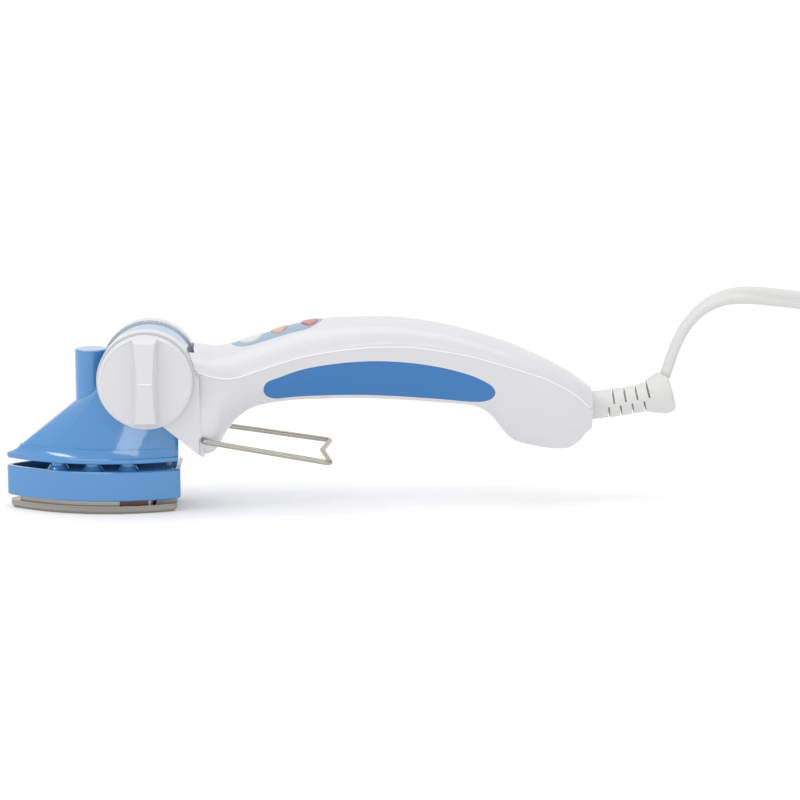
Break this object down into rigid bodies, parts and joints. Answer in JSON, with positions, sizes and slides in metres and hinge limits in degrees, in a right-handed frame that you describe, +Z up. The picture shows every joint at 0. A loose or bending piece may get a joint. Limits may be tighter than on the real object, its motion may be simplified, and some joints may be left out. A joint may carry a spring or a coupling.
{
  "type": "small hand-held iron",
  "caption": "Small corded iron: boat-shaped hot plate on a tilting head, arched grip with side inlays, lock knob, folding wire rest and sloping key panel.",
  "frame": {"origin": "centre of the soleplate's ironing face", "axes": "+X from the nose of the plate towards the cord, -Y to the lock knob's side, +Z up out of the plate"},
  "size_m": [0.5992, 0.0629, 0.1046],
  "materials": {
    "polished_steel": "polished",
    "cast_aluminium": "cast",
    "steel_parts": "plated",
    "brass_parts": "satin",
    "black_plastic": "satin",
    "cream_fibre": "fibrous",
    "brown_moulding": "moulded",
    "blue_plastic": "glossy",
    "lead_sleeve": "woven sleeve",
    "white_plastic": "satin gloss",
    "grip_blue": "soft-touch",
    "panel_blue": "satin",
    "board_green": "lacquered",
    "lamp_lens": "clear",
    "cord_white": "satin",
    "steel_wire": "drawn",
    "key_white": "satin",
    "key_pink": "satin",
    "key_red": "satin"
  },
  "bodies": {
    "head": {"soleplate": "polished_steel", "heater_block": "cast_aluminium", "heating_element": "steel_parts", "thermostat": "steel_parts", "thermal_fuse": "brass_parts", "terminal_block": "black_plastic", "insulation_pad": "cream_fibre", "thermal_spacer": "brown_moulding", "guard_ring": "blue_plastic", "housing_screws": "steel_parts", "soleplate_screws": "steel_parts", "head_housing": "blue_plastic", "hub_detent_ring": "steel_parts", "head_leads": "lead_sleeve"},
    "handle": {"upper_shell": "white_plastic", "lower_shell": "white_plastic", "grip_insert_near": "grip_blue", "grip_insert_far": "grip_blue", "control_panel": "panel_blue", "control_board": "board_green", "tact_switches": "black_plastic", "indicator_lamps": "lamp_lens", "hub_sleeve": "brass_parts", "far_side_cap": "white_plastic", "fork_detent_ring": "steel_parts", "handle_leads": "lead_sleeve", "mains_leads": "lead_sleeve", "wire_connectors": "brass_parts", "cord_clamp": "black_plastic", "cord_clamp_screws": "steel_parts", "shell_screws": "steel_parts", "strain_relief": "cord_white", "power_cord": "cord_white", "cord_coil": "cord_white", "cord_tie": "black_plastic", "cord_tail": "cord_white", "plug_body": "cord_white", "plug_blades": "brass_parts"},
    "knob": {"lock_knob": "white_plastic", "lock_bolt": "steel_parts", "lock_spring": "steel_parts"},
    "stand": {"wire_stand": "steel_wire"},
    "off_key": {"off_button": "key_white"},
    "low_key": {"low_button": "key_pink"},
    "high_key": {"high_button": "key_red"}
  },
  "joints": [
    {"name": "head_tilt", "type": "hinge", "parent": "handle", "child": "head", "pos_m": [0.0268, 0, 0.0646], "axis": [0, 1, 0], "range_deg": [0, 90]},
    {"name": "knob_turn", "type": "hinge", "parent": "handle", "child": "knob", "pos_m": [0.0268, 0, 0.0646], "axis": [0, -1, 0], "range_deg": [0, 90]},
    {"name": "stand_swing", "type": "hinge", "parent": "handle", "child": "stand", "pos_m": [0.0535, 0, 0.0356], "axis": [0, 1, 0], "range_deg": [0, 81]},
    {"name": "off_press", "type": "slide", "parent": "handle", "child": "off_key", "axis": [0.2453, 0, -0.9694], "range_m": [0, 0.0008], "stiffness_N_per_m": 1500},
    {"name": "low_press", "type": "slide", "parent": "handle", "child": "low_key", "axis": [0.2453, 0, -0.9694], "range_m": [0, 0.0008], "stiffness_N_per_m": 1500},
    {"name": "high_press", "type": "slide", "parent": "handle", "child": "high_key", "axis": [0.2453, 0, -0.9694], "range_m": [0, 0.0008], "stiffness_N_per_m": 1500}
  ]
}
